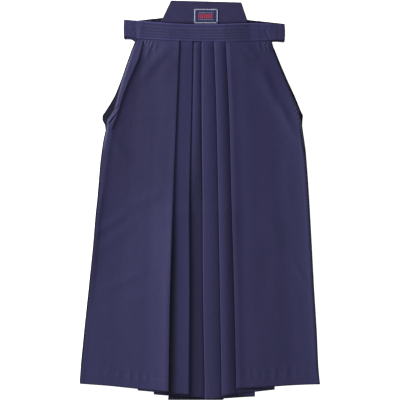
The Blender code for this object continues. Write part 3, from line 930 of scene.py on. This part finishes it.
def stitches_mesh(name, lines, material):
    """Many stitch lines as one mesh."""
    points, faces, start = [], [], 0
    for line in lines:
        line_points, line_faces = stitch_line(*line)
        points.append(line_points)
        faces.append(line_faces + start)
        start += len(line_points)
    mesh = bpy.data.meshes.new(name)
    mesh.from_pydata((np.concatenate(points) * MM).tolist(), [], np.concatenate(faces).tolist())
    mesh.shade_smooth()
    return linked(mesh, material)


# Materials


def add(tree, kind, inputs=(), **settings):
    """Adds one shader node: settings are its properties, inputs pair a socket with a value or a link."""
    node = tree.nodes.new("ShaderNode" + kind)
    for name, value in settings.items():
        setattr(node, name, value)
    for socket, value in inputs:
        if isinstance(value, bpy.types.NodeSocket):
            tree.links.new(value, node.inputs[socket])
        else:
            node.inputs[socket].default_value = value
    return node


def new_material(name, values):
    """A new material, its node tree, and its surface shader with the given values in its sockets."""
    material = bpy.data.materials.new(name)
    material.use_nodes = True
    shader = material.node_tree.nodes["Principled BSDF"]
    for socket, value in values.items():
        shader.inputs[socket].default_value = value
    return material, material.node_tree, shader


def toned(colour, red, green, blue):
    """A colour with each channel times its factor, at most 1, and full alpha."""
    factors = (red, green, blue)
    return (*(min(channel * factor, 1.0) for channel, factor in zip(colour, factors)), 1.0)


def woven_twill(name, colour, settings):
    """Polyester and rayon twill, piece dyed and pressed.

    Its steep diagonal ribs are under 1 mm apart, too fine for the main view, and its dye and
    pressing leave slow changes of tone, mostly along the cloth. The face has a faint nap. A tone
    attribute paints shade, much darker, at edges and beside folds, and paints highlights paler.
    """
    material, tree, shader = new_material(name, {
        "Roughness": settings.cloth_roughness,
        "Sheen Weight": settings.cloth_sheen,
        "Sheen Roughness": 0.45,
        "Sheen Tint": (0.62, 0.62, 0.95, 1.0),
        "Specular IOR Level": 0.2,
    })
    uv = add(tree, "UVMap", uv_map="Cloth").outputs["UV"]
    turned = add(tree, "Mapping", [("Vector", uv), ("Rotation", (0.0, 0.0, RIB_ANGLE))])
    ribs = add(tree, "TexWave", [
        ("Vector", turned.outputs["Vector"]), ("Scale", WAVE_PERIOD / settings.twill_rib),
        ("Distortion", 1.2), ("Detail", 2.0), ("Detail Scale", 1.5),
    ], wave_type="BANDS", bands_direction="X").outputs["Fac"]
    place = add(tree, "TexCoord").outputs["Object"]
    stretched = add(tree, "Mapping", [("Vector", place), ("Scale", (1.0, 0.22, 1.0))])
    slow = add(tree, "TexNoise", [
        ("Vector", stretched.outputs["Vector"]), ("Scale", 1 / TONE_SIZE), ("Detail", 3.0),
    ])
    slub = add(tree, "TexNoise", [
        ("Vector", place), ("Scale", 1 / SLUB_SIZE), ("Detail", 4.0), ("Roughness", 0.7),
    ])
    tone = add(tree, "Mix", [("Factor", 0.68), ("A", slow.outputs["Fac"]), ("B", slub.outputs["Fac"])],
               data_type="FLOAT")
    ramp = add(tree, "ValToRGB", [("Fac", tone.outputs["Result"])])
    dark, pale = ramp.color_ramp.elements
    dark.position, dark.color = 0.38, toned(colour, 0.78, 0.82, 0.84)
    pale.position, pale.color = 0.62, toned(colour, 1.22, 1.16, 1.12)
    # Painted shade where the tone attribute is above 0, painted highlight where it is below 0
    edge = add(tree, "Attribute", attribute_name="Edge").outputs["Fac"]
    painted_highlight = add(tree, "Math", [(0, edge), (1, -1.0)], operation="MULTIPLY", use_clamp=True)
    shown = ramp.outputs["Color"]
    for share, factor in ((ribs, RIB_TONE), (edge, PAINTED_SHADE_TONE), (painted_highlight.outputs["Value"], PAINTED_HIGHLIGHT_TONE)):
        shown = add(tree, "Mix", [
            ("Factor", share), ("A", shown), ("B", toned(colour, factor, factor, factor)),
        ], data_type="RGBA").outputs["Result"]
    tree.links.new(shown, shader.inputs["Base Color"])
    weave = add(tree, "Bump", [("Height", ribs), ("Strength", 0.5), ("Distance", 0.00012)])
    pressed = add(tree, "TexNoise", [("Vector", place), ("Scale", 1 / PRESSED_SIZE), ("Detail", 2.0)])
    handle = add(tree, "Bump", [
        ("Height", pressed.outputs["Fac"]), ("Strength", 0.5), ("Distance", 0.0011),
        ("Normal", weave.outputs["Normal"]),
    ])
    tree.links.new(handle.outputs["Normal"], shader.inputs["Normal"])
    return material


def spun_thread(name, colour, roughness):
    """Two-ply sewing or embroidery thread, which gives short bright beads with a twist."""
    material, tree, shader = new_material(name, {"Roughness": roughness, "Sheen Weight": 0.2})
    place = add(tree, "TexCoord").outputs["Object"]
    ply = add(tree, "TexWave", [("Vector", place), ("Scale", WAVE_PERIOD / PLY_TWIST), ("Distortion", 1.0)],
              wave_type="BANDS", bands_direction="DIAGONAL").outputs["Fac"]
    shade = add(tree, "Mix", [
        ("Factor", ply), ("A", toned(colour, 0.75, 0.75, 0.75)), ("B", toned(colour, 1.15, 1.15, 1.15)),
    ], data_type="RGBA")
    tree.links.new(shade.outputs["Result"], shader.inputs["Base Color"])
    bump = add(tree, "Bump", [("Height", ply), ("Strength", 0.4), ("Distance", 0.0001)])
    tree.links.new(bump.outputs["Normal"], shader.inputs["Normal"])
    return material


def lit_acrylic(name, colour, glow):
    """Opal acrylic of a light table: an even white that glows, so that shadows on it wash out."""
    return new_material(name, {
        "Base Color": (*colour, 1.0),
        "Roughness": 0.9,
        "Specular IOR Level": 0.1,
        "Emission Color": (*colour, 1.0),
        "Emission Strength": glow,
    })[0]


def shared(kind, name, colour, *rest):
    """A material made once and used again by name."""
    return bpy.data.materials.get(name) or kind(name, tuple(colour), *rest)


# Settings that a user would change


class HakamaSettings(bpy.types.PropertyGroup):
    """Sizes and colours of the trousers."""

    twill_rib: FloatProperty(
        name="Twill rib", description="Distance between two diagonal ribs of the twill",
        default=0.0009, unit="LENGTH",
    )
    stitch_length: FloatProperty(
        name="Stitch length", description="Length of one machine stitch",
        default=0.0030, unit="LENGTH",
    )
    thread_width: FloatProperty(
        name="Thread width", description="Width of the sewing thread",
        default=0.0006, unit="LENGTH",
    )
    cloth_roughness: FloatProperty(
        name="Cloth roughness", description="Roughness of the pressed twill",
        default=0.68, subtype="FACTOR",
    )
    cloth_sheen: FloatProperty(
        name="Cloth sheen", description="How much the nap glows at low angles",
        default=0.06, subtype="FACTOR",
    )
    panel_colour: FloatVectorProperty(
        name="Panel colour", description="Outer side of the twill",
        default=linear("2D2B4E"), subtype="COLOR",
    )
    # Far darker than the panel colour: partly the wrong side's own colour, partly painted shade for the
    # back panels, gusset and straps, which show only in gaps at the outline and beside the board
    inner_colour: FloatVectorProperty(
        name="Inner colour", description="Wrong side of the twill",
        default=linear("121026"), subtype="COLOR",
    )
    board_colour: FloatVectorProperty(
        name="Board colour", description="Cover of the back board",
        default=linear("2B294A"), subtype="COLOR",
    )
    thread_colour: FloatVectorProperty(
        name="Thread colour", description="Sewing thread",
        default=linear("2E2C4E"), subtype="COLOR",
    )
    tack_colour: FloatVectorProperty(
        name="Tack colour", description="Thick thread of the bar tacks",
        default=linear("5C5A7E"), subtype="COLOR",
    )
    label_ground: FloatVectorProperty(
        name="Label ground", description="Woven ground of the label",
        default=linear("252B52"), subtype="COLOR",
    )
    label_pale: FloatVectorProperty(
        name="Label border", description="Pale thread of the label",
        default=linear("C4C6DA"), subtype="COLOR",
    )
    label_red: FloatVectorProperty(
        name="Label stripe", description="Red thread of the label",
        default=linear("A02248"), subtype="COLOR",
    )


class HakamaStage(bpy.types.PropertyGroup):
    """Camera and light."""

    camera_height: FloatProperty(
        name="Camera height", description="Height of the camera over the floor",
        default=4.0, unit="LENGTH",
    )
    view_width: FloatProperty(
        name="View width", description="Width of floor that the picture takes in",
        default=1.06, unit="LENGTH",
    )
    key_power: FloatProperty(
        name="Key light", description="Power of the low light at the left",
        default=188.0, unit="POWER",
    )
    fill_power: FloatProperty(
        name="Fill light", description="Power of the wide light at the lower right",
        default=20.0, unit="POWER",
    )
    sky: FloatProperty(
        name="Room light", description="Strength of the even light of the room",
        default=0.25,
    )
    floor_glow: FloatProperty(
        name="Table glow", description="Strength of the light table's own light",
        default=0.95,
    )


def finished(piece, node=None):
    """Attaches a piece to the garment's body and hides the imported part that it stands for."""
    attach(piece, BODY)
    if node:
        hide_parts(node)
    return piece


def cloth_piece(name, surface, thick, finish, settings, node, edge=None):
    """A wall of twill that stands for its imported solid."""
    material = shared(woven_twill, finish + "_twill", getattr(settings, finish + "_colour"), settings)
    piece = grid_mesh(name, surface, thick, material, edge)
    return finished(piece, node)


def sewn(name, lines, settings):
    """Machine stitches in thread of the cloth's colour, as one piece.

    A line is x, down and z, the length of a stitch and of a gap as shares of the stitch length,
    and how high the thread stands as a share of its width.
    """
    length, width = settings.stitch_length / MM, settings.thread_width / MM
    stitches = [
        (x, down, z, length * stitch, length * gap, width, width * rise)
        for x, down, z, stitch, gap, rise in lines
    ]
    thread = shared(spun_thread, "sewing_thread", settings.thread_colour, 0.55)
    return finished(stitches_mesh(name, stitches, thread))


# Operators


class HAKAMA_OT_front_panels(bpy.types.Operator):
    """Both halves of the front with their five pleats, and the stitching of their hem and sides"""

    bl_idname = "hakama.front_panels"
    bl_label = "Front panels"

    def execute(self, context):
        settings = context.scene.hakama
        lines = []
        for side, left in SIDES:
            surface = front_surface(left)
            from_side = surface["x"] - polyline(FRONT_EDGES[left], surface["down"])
            from_hem = surface["down"][-1:] - surface["down"]
            # Painted shade within a few mm of the side edge and the hem, and beside the folds
            tone = np.maximum(near(from_side, 2.8), near(from_hem, 2.4))
            tone = np.maximum(tone, painted_fold_shade(surface, left))
            cloth_piece("twill_front_" + side, surface, SHOWN_CLOTH, "panel", settings,
                        "front_" + side, tone)
            edge_x = FRONT_EDGES[left][-1][1]
            pleat_x = pleat_places(np.array([PLEAT_DOWN[-1]]))["edge" + OUTER_PLEAT[left]][0]
            x = np.linspace(edge_x + INWARD[left] * 6.0, pleat_x - INWARD[left] * 4.0, 160)
            start, end = STRIPS[left]["hem"][:2]
            hem = start + (end - start) * (x - edge_x) / (pleat_x - edge_x)
            down = hem - HEM_ALLOWANCE
            z = panel_top(x, down, left) + hem_relief(x, down, hem, 1.0) + THREAD_LIFT
            lines.append((x, down, z, *HEM_STITCH))
            down = np.linspace(*SIDE_SEAM, 220)
            x = polyline(FRONT_EDGES[left], down) + INWARD[left] * SIDE_SEAM_IN
            lines.append((x, down, panel_top(x, down, left) + THREAD_LIFT, *SIDE_STITCH))
        sewn("hem_stitches", lines, settings)
        return {"FINISHED"}


class HAKAMA_OT_side_folds(bpy.types.Operator):
    """The slanting folded strip at each side opening, with its stitching and bar tacks"""

    bl_idname = "hakama.side_folds"
    bl_label = "Side folds"

    def execute(self, context):
        settings = context.scene.hakama
        lines = []
        for side, left in SIDES:
            surface = side_fold_surface(left)
            # Painted shade along the strip's outer edge
            tone = near(surface["x"] - surface["x"][:, :1], 2.4)
            cloth_piece("twill_side_fold_" + side, surface, SHOWN_CLOTH, "panel", settings,
                        "side_fold_" + side, tone)
            x, down, z = (surface[key][:, FOLD_STITCH_COLUMN] for key in ("x", "down", "z"))
            lines.append((x, down, z + SHOWN_CLOTH / 2, *FOLD_STITCH))
        sewn("side_fold_stitches", lines, settings)
        tacks = []
        for x0, d0, x1, d1, left in BAR_TACKS:
            share = np.linspace(0, 1, 24)
            x, down = blend(x0, x1, share), blend(d0, d1, share)
            tacks.append((x, down, panel_top(x, down, left) + TACK_LIFT, *TACK_STITCH))
        thick = shared(spun_thread, "tack_thread", settings.tack_colour, 0.5)
        finished(stitches_mesh("bar_tacks", tacks, thick))
        return {"FINISHED"}


class HAKAMA_OT_waist_band(bpy.types.Operator):
    """The front band with its stitch rows, and the two ties folded behind it"""

    bl_idname = "hakama.waist_band"
    bl_label = "Waist band and ties"

    def execute(self, context):
        settings = context.scene.hakama
        surface, thick, tone = band_surface()
        cloth_piece("twill_front_band", surface, thick, "panel", settings,
                    "front_band", tone)
        for side, left in SIDES:
            surface, thick = tie_surface(left)
            x, down = surface["x"], surface["down"]
            from_long = np.minimum(down - down[:1], down[-1:] - down)
            from_fold = np.abs(x).max() - np.abs(x)
            # Painted shade along the tie's long edges and at the outer end of its loop
            tone = np.maximum(near(from_long, 1.5), near(from_fold, 2.2))
            cloth_piece("twill_front_tie_" + side, surface, thick, "panel", settings,
                        "front_tie_" + side, tone)
        x = np.linspace(STITCHED_FROM, STITCHED_TO, 400)
        lines = []
        for share in BAND_STITCH_ROWS:
            down = band_down(x, share)
            lines.append((x, down, band_middle(x, down) + BAND_THICK / 2 - 0.5, *BAND_STITCH))
        sewn("band_stitches", lines, settings)
        return {"FINISHED"}


class HAKAMA_OT_back_board(bpy.types.Operator):
    """The stiff board at the back waist and the straps beside it"""

    bl_idname = "hakama.back_board"
    bl_label = "Back board and straps"

    def execute(self, context):
        settings = context.scene.hakama
        surface, thick, tone = board_surface()
        material = shared(woven_twill, "board_twill", settings.board_colour, settings)
        finished(grid_mesh("covered_board", surface, thick, material, tone), "back_board")
        for side, left in SIDES:
            cloth_piece("twill_back_tie_" + side, strap_surface(left), TIE_THICK, "inner", settings,
                        "back_tie_" + side)
        return {"FINISHED"}


class HAKAMA_OT_label(bpy.types.Operator):
    """A small woven patch with a plain stitched border and plain bars"""

    bl_idname = "hakama.label"
    bl_label = "Label"

    def execute(self, context):
        settings = context.scene.hakama
        top, bottom = TOP_Y - LABEL_HIGH_Y, TOP_Y - LABEL_LOW_Y
        width, height = LABEL_RIGHT - LABEL_LEFT, bottom - top
        share = fine_ends(30, 0.03)
        x = blend(LABEL_LEFT, LABEL_RIGHT, share[None, :]) + 0 * share[:, None]
        down = blend(top, bottom, share[:, None]) + 0 * x
        z = LABEL_MIDDLE + 0.08 * np.sin(x / 9.0) * np.sin(down / 7.0)
        surface = lying(x, down, z, 1.0)
        thick = LABEL_THICK * edge_rounding(share[None, :], share[:, None], 0.02, 0.03)
        ground = shared(woven_twill, "label_weave", settings.label_ground, settings)
        patch = grid_mesh("label_ground", surface, thick, ground)
        finished(patch, "label_patch")

        def line(x0, x1, d0, d1):
            share = np.linspace(0, 1, 60)
            face = LABEL_MIDDLE + LABEL_THICK / 2 + 0.1 + 0 * share
            return blend(x0, x1, share), blend(d0, d1, share), face

        border, bars = [], []
        for inset in LABEL_BORDERS:
            left, right = LABEL_LEFT + inset, LABEL_RIGHT - inset
            high, low = top + inset, bottom - inset
            for ends in ((left, right, high, high), (left, right, low, low),
                         (left, left, high, low), (right, right, high, low)):
                border.append((*line(*ends), *BORDER_STITCH))
        inner = (LABEL_LEFT + width * LABEL_MARGIN, LABEL_RIGHT - width * LABEL_MARGIN)
        for step in LABEL_BARS:
            at = top + height * LABEL_BARS_TOP + step
            bars.append((*line(*inner, at, at), *BAR_STITCH))
        for row in LABEL_ROWS:
            at = top + height * row
            border.append((*line(*inner, at, at), *ROW_STITCH))
        white = shared(spun_thread, "pale_thread", settings.label_pale, 0.5)
        red = shared(spun_thread, "red_thread", settings.label_red, 0.5)
        finished(stitches_mesh("label_border", border, white))
        finished(stitches_mesh("label_bars", bars, red))
        return {"FINISHED"}


class HAKAMA_OT_back_panels(bpy.types.Operator):
    """The plain back panels and the gusset, which lie under the front"""

    bl_idname = "hakama.back_panels"
    bl_label = "Back panels and gusset"

    def execute(self, context):
        settings = context.scene.hakama
        for side, left in SIDES:
            cloth_piece("twill_back_" + side, back_surface(left), SHOWN_CLOTH, "inner", settings,
                        "back_" + side)
        cloth_piece("twill_gusset", gusset_surface(), SHOWN_CLOTH, "inner", settings,
                    "gusset")
        return {"FINISHED"}


class HAKAMA_OT_stage(bpy.types.Operator):
    """A light table, a low soft light at the left, a wide one at the lower right, and the camera"""

    bl_idname = "hakama.stage"
    bl_label = "Stage"

    def execute(self, context):
        scene, stage = context.scene, context.scene.hakama_stage
        mesh = bpy.data.meshes.new("light_table")
        half, low = TABLE_HALF, TABLE_LOW
        corners = [(-half, -half, low), (half, -half, low), (half, half, low), (-half, half, low)]
        mesh.from_pydata(corners, [], [(0, 1, 2, 3)])
        linked(mesh, lit_acrylic("opal_acrylic", linear("F6F6F6"), stage.floor_glow))
        for name, power, size, place in LAMPS:
            light = bpy.data.lights.new(name, "AREA")
            light.shape, light.size, light.energy = "DISK", size, getattr(stage, power)
            lamp = bpy.data.objects.new(name, light)
            lamp.location = place
            x, y, z = place
            lamp.rotation_euler = (math.atan2(math.hypot(x, y), z), 0.0, math.atan2(-y, -x) - math.pi / 2)
            scene.collection.objects.link(lamp)
        world = bpy.data.worlds.new("studio")
        world.use_nodes = True
        background = world.node_tree.nodes["Background"]
        background.inputs["Color"].default_value = (1.0, 1.0, 1.0, 1.0)
        background.inputs["Strength"].default_value = stage.sky
        scene.world = world
        scene.view_settings.view_transform = "Standard"
        camera_data = bpy.data.cameras.new("camera")
        camera_data.sensor_width = 36.0
        camera_data.lens = camera_data.sensor_width * stage.camera_height / stage.view_width
        camera = bpy.data.objects.new("camera", camera_data)
        camera.location = (*CAMERA_SHIFT, stage.camera_height)
        scene.collection.objects.link(camera)
        scene.camera = camera
        return {"FINISHED"}


class HAKAMA_PT_panel(bpy.types.Panel):
    """Lists the pieces and the settings"""

    bl_label = "Hakama"
    bl_idname = "HAKAMA_PT_panel"
    bl_space_type = "VIEW_3D"
    bl_region_type = "UI"
    bl_category = "Hakama"

    def draw(self, context):
        for operator in OPERATORS:
            self.layout.operator(operator.bl_idname)
        for group in (context.scene.hakama, context.scene.hakama_stage):
            for name in group.bl_rna.properties.keys():
                if name not in ("rna_type", "name"):
                    self.layout.prop(group, name)


OPERATORS = (
    HAKAMA_OT_stage, HAKAMA_OT_back_panels, HAKAMA_OT_back_board, HAKAMA_OT_label,
    HAKAMA_OT_front_panels, HAKAMA_OT_side_folds, HAKAMA_OT_waist_band,
)
CLASSES = (HakamaSettings, HakamaStage, *OPERATORS, HAKAMA_PT_panel)


def register():
    """Makes the settings, operators and panel known."""
    for each in CLASSES:
        bpy.utils.register_class(each)
    bpy.types.Scene.hakama = PointerProperty(type=HakamaSettings)
    bpy.types.Scene.hakama_stage = PointerProperty(type=HakamaStage)


def unregister():
    """Takes the settings, operators and panel away again."""
    del bpy.types.Scene.hakama_stage
    del bpy.types.Scene.hakama
    for each in reversed(CLASSES):
        bpy.utils.unregister_class(each)


def main():
    """Builds the stage and every piece."""
    register()
    for operator in OPERATORS:
        group, name = operator.bl_idname.split(".")
        getattr(getattr(bpy.ops, group), name)()


if __name__ == "__main__":
    main()
